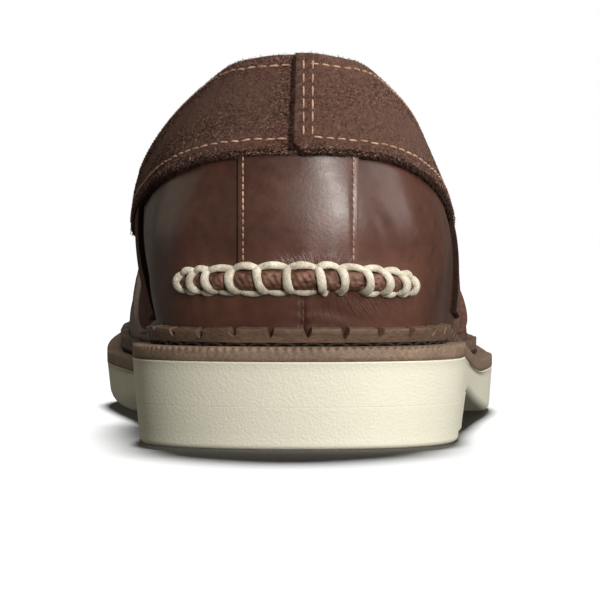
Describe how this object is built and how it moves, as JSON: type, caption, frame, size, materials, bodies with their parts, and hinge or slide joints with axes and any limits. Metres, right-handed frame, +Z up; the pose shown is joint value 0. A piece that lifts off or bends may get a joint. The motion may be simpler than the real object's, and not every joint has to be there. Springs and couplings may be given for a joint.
{
  "type": "venetian loafer",
  "caption": "Slip-on venetian loafer with a suede collar band, smooth leather heel and sides, a hand-sewn bead across the heel and a thick foam sole, right foot.",
  "frame": {"origin": "bottom centre of the sole's outline, on the floor", "axes": "+Z up, +Y from heel to toe, +X towards the outer (lateral) side of the right foot"},
  "size_m": [0.1087, 0.303, 0.0864],
  "materials": {
    "cream_foam": "matte, finely pebbled",
    "strip_brown": "matte",
    "smooth_leather": "waxed, soft sheen",
    "suede": "napped, matte",
    "lining_tan": "matte"
  },
  "bodies": {
    "root": {"outsole": "cream_foam", "heel_lift": "cream_foam", "midsole": "strip_brown", "insole": "lining_tan", "upper": "smooth_leather", "rand": "strip_brown", "collar_band": "suede", "heel_stay": "smooth_leather", "heel_bead": "smooth_leather", "apron_seam": "smooth_leather"}
  },
  "joints": []
}
